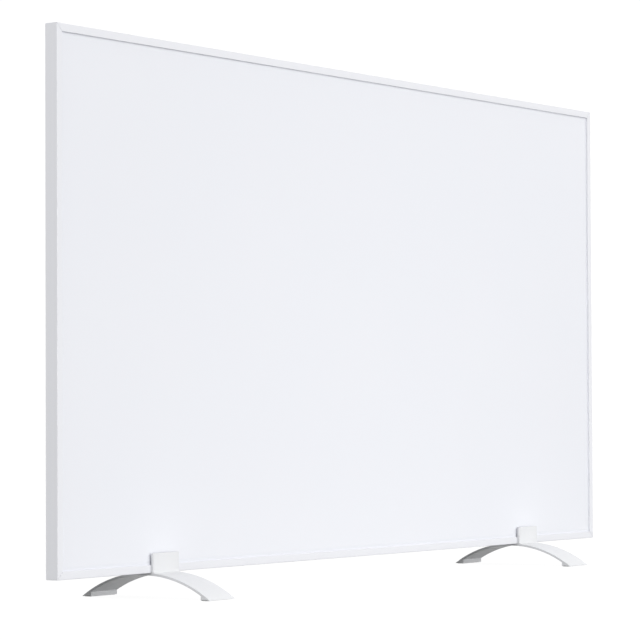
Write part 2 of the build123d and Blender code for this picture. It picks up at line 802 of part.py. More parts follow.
# --------------------------------------------------------------- cable gland, without cord
with BuildPart() as gland_body:
    with BuildSketch(gland_plane(0)):
        RegularPolygon(gland_flats / 2, 6, major_radius=False)
    extrude(amount=gland_flange_height)
    with BuildSketch(gland_plane(gland_flange_height)):
        Circle(gland_neck_radius)
    extrude(amount=gland_neck_height)
    with BuildSketch(gland_plane(0)):
        Circle(gland_thread_radius)
    extrude(amount=-gland_shank_height)
    with BuildSketch(gland_plane(gland_flange_height)):
        Circle(gland_seal_radius + gland_gap)
    extrude(amount=gland_neck_height, mode=Mode.SUBTRACT)
    with BuildSketch(gland_plane(-gland_shank_height)):
        Circle(gland_nut_bore_radius)
    extrude(amount=gland_shank_height + gland_flange_height, mode=Mode.SUBTRACT)
gland_body.part.label = "gland_body"
export_step(gland_body.part, "parts/gland_body.step")

with BuildPart() as gland_locknut:
    with BuildSketch(gland_plane(-box_wall)):
        RegularPolygon(gland_flats / 2, 6, major_radius=False)
        Circle(gland_thread_radius + gland_gap, mode=Mode.SUBTRACT)
    extrude(amount=-gland_locknut_height)
gland_locknut.part.label = "gland_locknut"
export_step(gland_locknut.part, "parts/gland_locknut.step")

gland_nut_start = gland_flange_height + gland_nut_standoff
gland_nut_roof = gland_nut_start + gland_nut_height - gland_nut_top_thickness
with BuildPart() as gland_seal:
    with BuildSketch(gland_plane(gland_flange_height)):
        Circle(gland_seal_radius)
        Circle(gland_cord_radius, mode=Mode.SUBTRACT)
    extrude(amount=gland_nut_roof - gland_flange_height)
gland_seal.part.label = "gland_seal"
export_step(gland_seal.part, "parts/gland_seal.step")

with BuildPart() as gland_nut:
    with BuildSketch(gland_plane(gland_nut_start)):
        RegularPolygon(gland_flats / 2, 6, major_radius=False)
    extrude(amount=gland_nut_height / 2)
    with BuildSketch(gland_plane(gland_nut_start + gland_nut_height / 2)):
        Circle(gland_flats / 2)
    extrude(amount=gland_nut_height / 2)
    fillet(gland_nut.edges().group_by(Axis.Z)[0], radius=gland_nut_top_thickness)
    with BuildSketch(gland_plane(gland_nut_start)):
        Circle(gland_neck_radius + gland_gap)
    extrude(amount=gland_nut_roof - gland_nut_start, mode=Mode.SUBTRACT)
    with BuildSketch(gland_plane(gland_nut_roof)):
        Circle(gland_nut_bore_radius)
    extrude(amount=gland_nut_top_thickness, mode=Mode.SUBTRACT)
gland_nut.part.label = "gland_nut"
export_step(gland_nut.part, "parts/gland_nut.step")

# ------------------------------------------------- feet, their toe pads and their clamps
arch_radius = (foot_length ** 2 / 4 + crown_height ** 2) / (2 * crown_height)
arch_centre = crown_height - arch_radius
soffit_radius = arch_radius - foot_wall
tip_y = sqrt(arch_radius ** 2 - (toe_lift - arch_centre) ** 2)
toe_y = foot_length / 2 - toe_length
toe_top = arch_centre + sqrt(soffit_radius ** 2 - toe_y ** 2)
toe_pad_y = foot_length / 2 - toe_pad_inset
front_tab_y = -panel_depth / 2 - tab_gap
rear_tab_y = panel_depth / 2 + clamp_space
clamp_z = crown_height + clamp_rise
pad_front_y = panel_depth / 2 + clamp_pad_gap
pad_rear_y = pad_front_y + clamp_pad_thickness
shoulder_y = pad_rear_y + 2 * thread_gap
knob_y = rear_tab_y + tab_thickness + clamp_knob_gap
shank_end_y = knob_y + clamp_knob_length - clamp_knob_floor


def arch_height(y):
    """Height of the arch's upper face at a distance from the foot's middle."""
    return arch_centre + sqrt(arch_radius ** 2 - y ** 2)


def draw_foot_section():
    """The extrusion's outline in the active sketch, x along the foot and y upwards."""
    with BuildLine() as arch:
        ThreePointArc((-tip_y, toe_lift), (0, crown_height), (tip_y, toe_lift))
        Polyline((tip_y, toe_lift), (toe_y, toe_lift), (toe_y, toe_top))
        ThreePointArc((toe_y, toe_top), (0, crown_height - foot_wall), (-toe_y, toe_top))
        Polyline((-toe_y, toe_top), (-toe_y, toe_lift), (-tip_y, toe_lift))
    make_face(arch.edges())
    with Locations((front_tab_y, crown_height - seat_gap)):
        Rectangle(rear_tab_y - front_tab_y, foot_wall, align=(Align.MIN, Align.MIN), mode=Mode.SUBTRACT)
    tab_foot = crown_height - foot_wall / 2
    tab_size = (tab_thickness, crown_height + tab_height - tab_foot)
    with Locations((front_tab_y, tab_foot)):
        Rectangle(*tab_size, align=(Align.MAX, Align.MIN))
    with Locations((rear_tab_y, tab_foot)):
        Rectangle(*tab_size, align=(Align.MIN, Align.MIN))
    with Locations((-toe_pad_y, toe_lift), (toe_pad_y, toe_lift)):
        Rectangle(
            toe_pad_width, toe_pad_thickness - toe_lift, align=(Align.CENTER, Align.MIN), mode=Mode.SUBTRACT
        )


def clamp_plane(centre_x, y):
    """Plane across a foot's clamp screw, growing to the rear."""
    return Plane(origin=(centre_x, y, clamp_z), x_dir=(-1, 0, 0), z_dir=(0, 1, 0))


for side, centre_x in (("left", -foot_spacing / 2), ("right", foot_spacing / 2)):
    front_root = (front_tab_y - tab_thickness, arch_height(front_tab_y - tab_thickness))
    rear_root = (rear_tab_y + tab_thickness, arch_height(rear_tab_y + tab_thickness))
    with BuildPart() as foot:
        with BuildSketch(Plane.YZ.offset(centre_x - foot_width / 2)) as section:
            draw_foot_section()
            corners = section.vertices()
            fillet(
                [corners.sort_by_distance((*root, 0))[0] for root in (front_root, rear_root)],
                radius=tab_root_radius,
            )
            fillet(section.vertices().group_by(Axis.Y)[-1], radius=tab_edge_radius)
        extrude(amount=foot_width)
        with BuildSketch(clamp_plane(centre_x, rear_tab_y)):
            Circle(clamp_screw_radius + thread_gap)
        extrude(amount=tab_thickness, mode=Mode.SUBTRACT)
    foot.part.label = f"foot_{side}"
    export_step(foot.part, f"parts/foot_{side}.step")

    with BuildPart() as toe_pads:
        with BuildSketch(Plane.YZ.offset(centre_x - foot_width / 2 + toe_pad_margin)):
            with Locations((-toe_pad_y, 0), (toe_pad_y, 0)):
                Rectangle(toe_pad_width, toe_pad_thickness, align=(Align.CENTER, Align.MIN))
        extrude(amount=foot_width - 2 * toe_pad_margin)
    toe_pads.part.label = f"toe_pads_{side}"
    export_step(toe_pads.part, f"parts/toe_pads_{side}.step")

    with BuildPart() as clamp_pad:
        with BuildSketch(clamp_plane(centre_x, pad_front_y)):
            Circle(clamp_pad_radius)
        extrude(amount=clamp_pad_thickness)
        chamfer(clamp_pad.edges().group_by(Axis.Y)[0], length=clamp_pad_gap)
        with BuildSketch(clamp_plane(centre_x, pad_rear_y)):
            Circle(clamp_tip_radius + thread_gap)
        extrude(amount=-clamp_tip_length, mode=Mode.SUBTRACT)
    clamp_pad.part.label = f"clamp_pad_{side}"
    export_step(clamp_pad.part, f"parts/clamp_pad_{side}.step")

    with BuildPart() as clamp_screw:
        with BuildSketch(clamp_plane(centre_x, shoulder_y)):
            Circle(clamp_screw_radius)
        extrude(amount=shank_end_y - shoulder_y)
        with BuildSketch(clamp_plane(centre_x, shoulder_y)):
            Circle(clamp_tip_radius)
        extrude(amount=-clamp_tip_length)
    clamp_screw.part.label = f"clamp_screw_{side}"
    export_step(clamp_screw.part, f"parts/clamp_screw_{side}.step")

    with BuildPart() as clamp_knob:
        with BuildSketch(clamp_plane(centre_x, knob_y)):
            Circle(clamp_knob_radius)
        extrude(amount=clamp_knob_length)
        fillet(clamp_knob.edges().filter_by(GeomType.CIRCLE), radius=knob_edge_radius)
        with BuildSketch(clamp_plane(centre_x, knob_y)):
            with PolarLocations(clamp_knob_radius, knob_flutes):
                Circle(knob_flute_radius)
        extrude(amount=clamp_knob_length, mode=Mode.SUBTRACT)
        with BuildSketch(clamp_plane(centre_x, knob_y)):
            Circle(clamp_screw_radius + thread_gap / 2)
        extrude(amount=clamp_knob_length - clamp_knob_floor, mode=Mode.SUBTRACT)
    clamp_knob.part.label = f"clamp_knob_{side}"
    export_step(clamp_knob.part, f"parts/clamp_knob_{side}.step")
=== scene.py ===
"""Looks of a white infrared panel heater on two arched feet: its finishes, its finer pieces and the studio.

Lengths are named in millimetres and become metres through MM where they meet the scene.  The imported
part is the fixed frame: +X to the right as seen from the front, -Y towards the room, +Z up.
"""
import json
from math import cos, pi, sin, sqrt

import bmesh
import bpy
import numpy as np
from mathutils import Matrix, Vector


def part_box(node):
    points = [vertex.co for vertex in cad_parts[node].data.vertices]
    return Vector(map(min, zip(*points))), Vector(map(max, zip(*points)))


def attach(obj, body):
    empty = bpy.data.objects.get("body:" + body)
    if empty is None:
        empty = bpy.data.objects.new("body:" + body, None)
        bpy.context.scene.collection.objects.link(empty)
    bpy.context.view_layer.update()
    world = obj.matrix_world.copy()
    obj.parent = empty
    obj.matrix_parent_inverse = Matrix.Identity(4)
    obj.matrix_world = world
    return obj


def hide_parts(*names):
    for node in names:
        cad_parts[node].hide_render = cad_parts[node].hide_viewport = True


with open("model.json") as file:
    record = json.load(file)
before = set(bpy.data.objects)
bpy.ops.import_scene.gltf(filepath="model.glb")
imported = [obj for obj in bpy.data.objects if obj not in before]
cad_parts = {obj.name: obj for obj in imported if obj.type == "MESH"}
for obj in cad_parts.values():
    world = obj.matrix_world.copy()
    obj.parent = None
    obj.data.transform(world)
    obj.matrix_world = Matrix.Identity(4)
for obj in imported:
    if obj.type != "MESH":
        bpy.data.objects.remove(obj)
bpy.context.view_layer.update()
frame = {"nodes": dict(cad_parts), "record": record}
MM = 0.001

# ------------------------------------------------------------------------------- materials


def linear(hex_colour):
    """Linear RGBA of an sRGB hex colour."""
    srgb = np.array([int(hex_colour[i:i + 2], 16) for i in (1, 3, 5)]) / 255
    rgb = np.where(srgb <= 0.04045, srgb / 12.92, ((srgb + 0.055) / 1.055) ** 2.4)
    return (*rgb.tolist(), 1.0)


def add(tree, kind, links=None, **settings):
    """Adds one node.  A setting is an attribute of the node, or else an input socket by its name or
    number written as i0, i1 and so on; links gives the sockets that other nodes' outputs feed."""
    node = tree.nodes.new(kind)
    for name, value in settings.items():
        if hasattr(node, name):
            setattr(node, name, value)
        elif name[0] == "i" and name[1:].isdigit():
            node.inputs[int(name[1:])].default_value = value
        else:
            node.inputs[name.replace("_", " ")].default_value = value
    for socket, source in (links or {}).items():
        tree.links.new(source, node.inputs[socket])
    return node


def start_material(name):
    """An empty node material with its output, its Principled shader and its Object coordinates."""
    material = bpy.data.materials.new(name)
    material.use_nodes = True
    tree = material.node_tree
    tree.nodes.clear()
    shader = add(tree, "ShaderNodeBsdfPrincipled")
    add(tree, "ShaderNodeOutputMaterial", {"Surface": shader.outputs["BSDF"]})
    place = add(tree, "ShaderNodeTexCoord").outputs["Object"]
    return material, tree, shader, place


def dress(
    tree, shader, colours, share, sheen, roughness, height, strength, depth_mm, span=(0.3, 0.7), below=None,
):
    """Feeds the shader from patterns.  The colour runs from the first to the second by share.  The
    roughness, given as its middle and its reach either way, follows sheen across its span.  Height raises
    the surface by depth_mm, on top of a slower bump below it if there is one."""
    first, second = (linear(colour) for colour in colours)
    middle, reach = roughness
    tint = add(tree, "ShaderNodeMix", {0: share}, data_type="RGBA", i6=first, i7=second)
    gloss = add(
        tree, "ShaderNodeMapRange", {"Value": sheen},
        From_Min=span[0], From_Max=span[1], To_Min=middle - reach, To_Max=middle + reach,
    )
    feeds = {"Height": height, "Normal": below} if below else {"Height": height}
    bump = add(tree, "ShaderNodeBump", feeds, Strength=strength, Distance=depth_mm * MM)
    for node, output, socket in ((tint, 2, "Base Color"), (gloss, 0, "Roughness"), (bump, 0, "Normal")):
        tree.links.new(node.outputs[output], shader.inputs[socket])


def powder_coat(name, colour, shade, roughness, peel_mm, peel_depth_mm):
    """Polyester powder baked on metal.  It flows out with a faint orange peel, and lies a hair
    thicker in some places than in others, which shows as a very slow change of shade."""
    cloud_mm = 180.0
    material, tree, shader, place = start_material(name)
    shader.inputs["IOR"].default_value = 1.5
    shader.inputs["Coat Weight"].default_value = 0.08
    shader.inputs["Coat Roughness"].default_value = 0.25
    cloud = add(tree, "ShaderNodeTexNoise", {"Vector": place}, Scale=1 / (cloud_mm * MM), Detail=2.0)
    peel = add(tree, "ShaderNodeTexNoise", {"Vector": place}, Scale=1 / (peel_mm * MM), Detail=3.0)
    dress(
        tree, shader, (colour, shade), share=cloud.outputs[0], sheen=peel.outputs[0],
        roughness=(roughness, 0.04), height=peel.outputs[0], strength=0.5, depth_mm=peel_depth_mm,
    )
    return material


def metal(name, colour, shade, roughness, grain_mm, stretch, depth_mm):
    """Bare or plated metal.  The grain is drawn out along X by stretch, as rolling or drawing leaves it,
    and blurs and streaks what the metal mirrors.  Real grain of some 0.05 mm is too fine to show, so it
    is drawn as coarse as it needs to show."""
    material, tree, shader, place = start_material(name)
    shader.inputs["Metallic"].default_value = 1.0
    drawn = add(tree, "ShaderNodeMapping", {"Vector": place}, Scale=(1 / stretch, 1, 1))
    grain = add(
        tree, "ShaderNodeTexNoise", {"Vector": drawn.outputs[0]}, Scale=1 / (grain_mm * MM), Detail=4.0
    )
    dress(
        tree, shader, (colour, shade), share=grain.outputs[0], sheen=grain.outputs[0],
        roughness=(roughness, 0.08), height=grain.outputs[0], strength=0.4, depth_mm=depth_mm,
    )
    return material


def galvanised(name, colour, shade, roughness, spangle_mm):
    """Hot-dip galvanised steel sheet, passivated.  The zinc freezes in flat crystals, each of which mirrors
    a little more or less than the next; its oxide skin scatters the rest of the light as paint does.
    Rolling leaves fine lines along the sheet, and between its fixings it is bowed a hair."""
    line_mm, bow_mm, bow_depth_mm = 1.2, 220.0, 2.0
    material, tree, shader, place = start_material(name)
    shader.inputs["Metallic"].default_value = 0.6
    flat = add(tree, "ShaderNodeMapping", {"Vector": place}, Scale=(1, 0, 1))
    wander = add(
        tree, "ShaderNodeTexNoise", {"Vector": flat.outputs[0]}, Scale=3 / (spangle_mm * MM), Detail=2.0
    )
    swirl = add(
        tree, "ShaderNodeVectorMath", {0: wander.outputs["Color"], 2: flat.outputs[0]},
        operation="MULTIPLY_ADD", i1=(0.25 * spangle_mm * MM,) * 3,
    )
    crystal = add(tree, "ShaderNodeTexVoronoi", {"Vector": swirl.outputs[0]}, Scale=1 / (spangle_mm * MM))
    share = add(tree, "ShaderNodeSeparateColor", {"Color": crystal.outputs["Color"]})
    rolled = add(tree, "ShaderNodeMapping", {"Vector": place}, Scale=(0.02, 0, 1))
    lines = add(
        tree, "ShaderNodeTexNoise", {"Vector": rolled.outputs[0]}, Scale=1 / (line_mm * MM), Detail=2.0
    )
    mixed = add(
        tree, "ShaderNodeMath", {0: lines.outputs[0], 2: share.outputs["Red"]},
        operation="MULTIPLY_ADD", i1=0.5,
    )
    amount = add(tree, "ShaderNodeMapRange", {"Value": mixed.outputs[0]}, From_Min=0.0, From_Max=1.5)
    bow = add(tree, "ShaderNodeTexNoise", {"Vector": flat.outputs[0]}, Scale=1 / (bow_mm * MM), Detail=0.0)
    sheet = add(
        tree, "ShaderNodeBump", {"Height": bow.outputs[0]}, Strength=1.0, Distance=bow_depth_mm * MM
    )
    dress(
        tree, shader, (colour, shade), share=amount.outputs[0], sheen=share.outputs["Green"],
        roughness=(roughness, 0.07), height=mixed.outputs[0], strength=0.25, depth_mm=0.01,
        span=(0.0, 1.0), below=sheet.outputs[0],
    )
    return material


def moulding(name, colour, shade, roughness, grain_mm, depth_mm, specular=0.5):
    """Moulded plastic or rubber: the mould's spark-eroded skin is a fine even grain, which dulls the gleam.
    The real grain of some 0.1 mm is too fine to show, so it is drawn coarser."""
    cloud_mm = 25.0
    material, tree, shader, place = start_material(name)
    shader.inputs["Specular IOR Level"].default_value = specular
    grain = add(tree, "ShaderNodeTexVoronoi", {"Vector": place}, Scale=1 / (grain_mm * MM))
    cloud = add(tree, "ShaderNodeTexNoise", {"Vector": place}, Scale=1 / (cloud_mm * MM), Detail=3.0)
    dress(
        tree, shader, (colour, shade), share=cloud.outputs[0], sheen=cloud.outputs[0],
        roughness=(roughness, 0.05), height=grain.outputs[0], strength=0.35, depth_mm=depth_mm,
    )
    return material


finishes = {
    # Satin white coats: even, with one broad soft gleam
    "rail_coat": powder_coat("satin_white_powder_coat_on_rails", "#EEEFF3", "#ECEDF2", 0.42, 2.5, 0.02),
    "plate_enamel": powder_coat("fine_matt_enamel_on_plate", "#EFF0F5", "#EDEFF5", 0.5, 1.6, 0.02),
    "foot_coat": powder_coat("satin_white_powder_coat_on_feet", "#E5E6E8", "#E3E4E6", 0.42, 2.5, 0.02),
    # Cool grey sheet, dull, with faint crystals
    "zinc_sheet": galvanised("galvanised_steel_sheet", "#D3D6D8", "#C2C6C9", 0.45, 7.0),
    # Bare and plated metal, from a mirror with a few creases to a dull streaked gleam
    "mill_aluminium": metal("mill_finish_aluminium", "#C9CACC", "#B6B7BA", 0.4, 0.6, 12.0, 0.01),
    "zinc_screw": metal("bright_zinc_plate", "#B4B9BE", "#9EA4AA", 0.3, 0.8, 1.0, 0.01),
    "bright_foil": metal("bright_aluminium_foil", "#DCDDDF", "#CFD0D3", 0.15, 4.0, 1.0, 0.03),
    "resistance_foil": metal("etched_resistance_foil", "#8F8A82", "#7C776F", 0.4, 0.5, 20.0, 0.01),
    "brass": metal("turned_brass", "#C9A45C", "#B48F4A", 0.28, 0.5, 1.0, 0.01),
    "tinned_copper": metal("tinned_copper", "#BDBBB4", "#A8A69F", 0.35, 0.6, 1.0, 0.01),
    # Soft sheets and the board inside: matt rubber, glossy amber film, chalky fibres
    "silicone_gasket": moulding("grey_silicone_rubber", "#B9B9B5", "#ADADA8", 0.6, 0.8, 0.02),
    "polyimide_film": moulding("amber_polyimide_film", "#B9771F", "#A5660F", 0.25, 3.0, 0.01),
    "fibre_board": moulding("pressed_mineral_fibre_board", "#DCD4BC", "#C9BFA3", 0.9, 1.5, 0.2, 0.2),
    # Moulded plastics and sleeves: a small blurred gleam on even colour
    "phenolic": moulding("brown_phenolic", "#33231A", "#291B13", 0.45, 0.5, 0.01),
    "brown_silicone": moulding("brown_silicone_sleeve", "#4E2E1B", "#432615", 0.45, 0.6, 0.01),
    "blue_silicone": moulding("blue_silicone_sleeve", "#2B5FA8", "#24549A", 0.45, 0.6, 0.01),
    "green_silicone": moulding("green_silicone_sleeve", "#4F9A3A", "#448A30", 0.45, 0.6, 0.01),
    "box_polyamide": moulding("light_grey_polyamide", "#D9DADB", "#CFD0D2", 0.5, 0.7, 0.03),
    "block_polyamide": moulding("natural_polyamide", "#E3DFD0", "#D8D3C2", 0.45, 0.6, 0.01),
    # Rubber: almost no gleam
    "black_rubber": moulding("black_rubber", "#1E1E1F", "#262627", 0.7, 0.6, 0.02, 0.3),
    "pad_rubber": moulding("pale_grey_rubber", "#D6D7D6", "#CDCECD", 0.7, 0.6, 0.02, 0.3),
    # Dark nylon: matt, with a soft gleam on its edges
    "pad_nylon": moulding("black_nylon", "#232325", "#2A2A2C", 0.45, 0.5, 0.01),
    "knob_nylon": moulding("dark_grey_glass_filled_nylon", "#36373A", "#404145", 0.45, 0.6, 0.02),
}
slot_of = {part["node"]: part["material_slot"] for part in frame["record"]["subparts"]}
body_of = {
    node: body for body, members in frame["record"]["behaviour"]["bodies"].items() for node in members
}
for node_name, node_object in frame["nodes"].items():
    node_object.data.materials.clear()
    node_object.data.materials.append(finishes[slot_of[node_name]])

# ------------------------------------------------------------------------ shaping in numpy
X_AXIS, Y_AXIS, Z_AXIS = np.eye(3)
# Axes of a shape: the directions of its first, second and third coordinate
ABOUT_Y = (Z_AXIS, X_AXIS, Y_AXIS)
ACROSS_X = (Y_AXIS, Z_AXIS, X_AXIS)
DOWN_Z = (X_AXIS, -Y_AXIS, -Z_AXIS)


def quads(rows, columns, closed=True):
    """Corners of the quads of a grid of points, row by row.  On a closed grid each row ends where it
    starts: the quad at row i, column j has the corners (i, j), (i, j + 1), (i + 1, j + 1), (i + 1, j)."""
    row = np.arange(rows - 1)[:, None] * columns
    column = np.arange(columns if closed else columns - 1)[None, :]
    after = (column + 1) % columns
    corners = [row + column, row + after, row + columns + after, row + columns + column]
    return np.stack(corners, axis=-1).reshape(-1, 4)


def round_corners(corners, steps=5):
    """Closed outline of straight runs joined by arcs, from rows of (x, y, radius).  Each arc touches its
    two runs at radius / tan(half the inner angle) from the corner, its centre lies on their bisector at
    radius / sin(half the angle), and its points divide the turn evenly.  A radius of 0 keeps the corner."""
    shortest = 1e-9
    corners = np.array(corners, float)
    points, radii = corners[:, :2], corners[:, 2:]
    back = np.roll(points, 1, axis=0) - points
    ahead = np.roll(points, -1, axis=0) - points
    back /= np.linalg.norm(back, axis=1, keepdims=True)
    ahead /= np.linalg.norm(ahead, axis=1, keepdims=True)
    half = np.arccos(np.clip((back * ahead).sum(1, keepdims=True), -1, 1)) / 2
    bisector = back + ahead
    bisector /= np.maximum(np.linalg.norm(bisector, axis=1, keepdims=True), shortest)
    reach = radii / np.tan(half)
    centre = points + bisector * radii / np.sin(half)
    turn = (pi - 2 * half)[:, :, None]
    share = np.linspace(0, 1, steps)[None, :, None]
    sweep = np.where(radii[:, :, None] > 0, np.sin(turn), 1)
    start = (points + back * reach - centre)[:, None]
    finish = (points + ahead * reach - centre)[:, None]
    arcs = centre[:, None] + (start * np.sin((1 - share) * turn) + finish * np.sin(share * turn)) / sweep
    kept = np.where(np.arange(steps) == 0, True, radii > 0)
    arcs = np.where(radii[:, :, None] > 0, arcs, points[:, None])
    return arcs[kept]


def outward(outline):
    """Unit normals of an anticlockwise outline, each square to the chord between the point's neighbours."""
    chord = np.roll(outline, -1, axis=0) - np.roll(outline, 1, axis=0)
    normal = np.stack([chord[:, 1], -chord[:, 0]], axis=1)
    return normal / np.linalg.norm(normal, axis=1, keepdims=True)


def extrusion(outline, length, edge_radius, origin, axes, mitre=0.0, steps=4):
    """Points and faces of an outline (first two axes) carried both ways along the third.  Ring a of an end,
    from 0 to a quarter turn, is the outline shrunk by radius (1 - sin a) and lies radius (1 - cos a)
    inside the end, so that the end's edge is round.  A mitre moves each point inwards by its own first
    coordinate."""
    normal = outward(outline)
    angle = np.linspace(0, pi / 2, steps)[:, None]
    shrunk = outline[None] - normal[None] * (edge_radius * (1 - np.sin(angle)))[..., None]
    along = length / 2 - mitre * shrunk[..., 0] - edge_radius * (1 - np.cos(angle))
    first = np.concatenate([shrunk, -along[..., None]], axis=-1)
    last = np.concatenate([shrunk, along[..., None]], axis=-1)[::-1]
    rings = np.concatenate([first, last])
    count = len(outline)
    caps = [list(range(count)), list(range((2 * steps - 1) * count, 2 * steps * count))]
    return rings.reshape(-1, 3) @ np.array(axes) + origin, quads(2 * steps, count).tolist() + caps


def around(columns):
    """Angles of evenly spaced columns: column j lies at 2 pi j / columns."""
    return 2 * pi * np.arange(columns) / columns


def turned(radius, height, origin, axes):
    """Points and faces of a shape turned about the third axis: row i, column j lies radius[i, j] from the
    axis at the angle of column j, at height[i, j].  Rows of radius 0 close it."""
    radius, height = np.broadcast_arrays(radius, height)
    angle = around(radius.shape[1])
    points = np.stack([radius * np.cos(angle), radius * np.sin(angle), height], axis=-1)
    return points.reshape(-1, 3) @ np.array(axes) + origin, quads(*radius.shape).tolist()


def lathed(profile, columns, origin, axes):
    """A round shape turned about the third axis, from rows of (height, radius)."""
    return turned(np.repeat(profile[:, 1:], columns, axis=1), profile[:, :1], origin, axes)


def thread_wave(y, pitch, columns):
    """Depth of a screw thread's groove as a share of the deepest, at heights y down a column and at the
    angles t of the columns: |2 frac(y / pitch - t / 2 pi) - 1|."""
    return np.abs(2 * ((y / pitch - np.arange(columns) / columns) % 1) - 1)


def closed_mesh(name, shells):
    """One mesh from shells of (points in mm, faces).  Points that meet are joined, and faces look out."""
    join_mm = 1e-4
    starts = np.cumsum([0] + [len(points) for points, faces in shells])
    points = np.concatenate([points for points, faces in shells]) * MM
    faces = [
        [int(start) + corner for corner in face]
        for start, shell in zip(starts, shells) for face in shell[1]
    ]
    mesh = bpy.data.meshes.new(name)
    mesh.from_pydata(points.tolist(), [], faces)
    shape = bmesh.new()
    shape.from_mesh(mesh)
    bmesh.ops.remove_doubles(shape, verts=shape.verts, dist=join_mm * MM)
    bmesh.ops.recalc_face_normals(shape, faces=shape.faces)
    shape.to_mesh(mesh)
    shape.free()
    return mesh


def smooth_but(mesh, sharp_degrees):
    """Smooth shading, except across edges that turn by more than an angle."""
    mesh.shade_smooth()
    mesh.set_sharp_from_angle(angle=np.radians(sharp_degrees))


def piece(name, shells, replaced, sharp_degrees=35.0):
    """One object that takes the finish, the body and the place of the CAD node that it replaces."""
    mesh = closed_mesh(name, shells)
    smooth_but(mesh, sharp_degrees)
    obj = bpy.data.objects.new(name, mesh)
    bpy.context.scene.collection.objects.link(obj)
    mesh.materials.append(finishes[slot_of[replaced]])
    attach(obj, body_of[replaced])
    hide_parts(replaced)
    return obj


def drill(obj, shells, sharp_degrees=35.0):
    """Takes the shapes of the shells out of an object for good, as a drill or a countersink does."""
    tool = bpy.data.objects.new("drill", closed_mesh("drill", shells))
    bpy.context.scene.collection.objects.link(tool)
    cut = obj.modifiers.new("cut", "BOOLEAN")
    cut.operation, cut.solver, cut.object = "DIFFERENCE", "EXACT", tool
    bpy.context.view_layer.update()
    drilled = bpy.data.meshes.new_from_object(obj.evaluated_get(bpy.context.evaluated_depsgraph_get()))
    obj.modifiers.remove(cut)
    solid, obj.data = obj.data, drilled
    for mesh in (solid, tool.data):
        bpy.data.meshes.remove(mesh)
    smooth_but(drilled, sharp_degrees)


def steady(obj):
    """Flat faces keep their own direction where a rounded edge runs into them."""
    weighted = obj.modifiers.new("steady_faces", "WEIGHTED_NORMAL")
    weighted.keep_sharp = True


def node_box(node):
    """Lowest and highest corner of a CAD node, in mm."""
    low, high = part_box(node)
    return np.array(low) / MM, np.array(high) / MM


# --------------------------------------------------------------------- frame of four rails
panel_left, panel_front = node_box("frame_left")[0][:2]
panel_right, panel_rear = node_box("frame_right")[1][:2]
panel_bottom = node_box("frame_bottom")[0][2]
panel_top = node_box("frame_top")[1][2]
panel_middle = np.array([(panel_left + panel_right) / 2, panel_front, (panel_bottom + panel_top) / 2])
panel_depth = panel_rear - panel_front
lip_width, lip_thickness = 9.0, 2.0
rear_lip_width, rear_lip_thickness = 15.0, 1.5
rail_wall = 1.8
rib_reach, rib_thickness = 10.0, 1.2
front_rib, rear_rib = 3.8, 13.0
mitre_gap = 0.4
mitre_edge_radius = 0.4
outer_edge_radius = 0.6
lip_edge_radius = 0.35
lip_seat_radius = 0.08
rib_edge_radius = 0.3
fine_radius = 0.2

# The section's x runs inwards from the outer edge and its y from front to rear
rear_lip_front = panel_depth - rear_lip_thickness
rail_corners = (
    (0, 0, outer_edge_radius), (lip_width, 0, lip_edge_radius), (lip_width, lip_thickness, lip_seat_radius),
    (rail_wall, lip_thickness, fine_radius), (rail_wall, front_rib, fine_radius),
    (rib_reach, front_rib, rib_edge_radius), (rib_reach, front_rib + rib_thickness, rib_edge_radius),
    (rail_wall, front_rib + rib_thickness, fine_radius), (rail_wall, rear_rib, fine_radius),
    (rib_reach, rear_rib, rib_edge_radius), (rib_reach, rear_rib + rib_thickness, rib_edge_radius),
    (rail_wall, rear_rib + rib_thickness, fine_radius), (rail_wall, rear_lip_front, fine_radius),
    (rear_lip_width, rear_lip_front, lip_edge_radius), (rear_lip_width, panel_depth, lip_edge_radius),
    (0, panel_depth, outer_edge_radius),
)
rail_outline = round_corners(rail_corners)
width, height = panel_right - panel_left, panel_top - panel_bottom

# Countersunk screw holes in the rear lip, at the keys' middle line
key_line = 5.9
key_inset = 28.0
sink_columns = 32
sink_profile = np.array([
    # depth from the rear face, radius
    (-5.0, 0), (-5.0, 1.65), (-1.2, 1.65), (0.0, 2.85), (1.0, 2.85), (1.0, 0),
])


def corner_sinks():
    """The eight countersinks as turned shapes about Y, in from the rear face."""
    shells = []
    for side in (-1, 1):
        for level in (-1, 1):
            for across, down in ((key_inset, key_line), (key_line, key_inset)):
                reach, rise = width / 2 - across, height / 2 - down
                spot = panel_middle + (side * reach, panel_depth, level * rise)
                shells.append(lathed(sink_profile, sink_columns, spot, ABOUT_Y))
    return shells


sinks = corner_sinks()
for rail_name, inwards, span, run in (
    ("bottom", Z_AXIS, height, width), ("top", -Z_AXIS, height, width),
    ("left", X_AXIS, width, height), ("right", -X_AXIS, width, height),
):
    bar = extrusion(
        rail_outline, run - mitre_gap, mitre_edge_radius, panel_middle - inwards * span / 2,
        (inwards, Y_AXIS, np.cross(inwards, Y_AXIS)), mitre=1.0,
    )
    rail = piece(f"rail_{rail_name}", [bar], f"frame_{rail_name}")
    drill(rail, sinks)
    steady(rail)

# --------------------------------------------------------------------------- radiating plate
plate_crown = 0.35
plate_wave = 0.03
waves_across, waves_up = 2.5, 1.5
rim_rise = 8


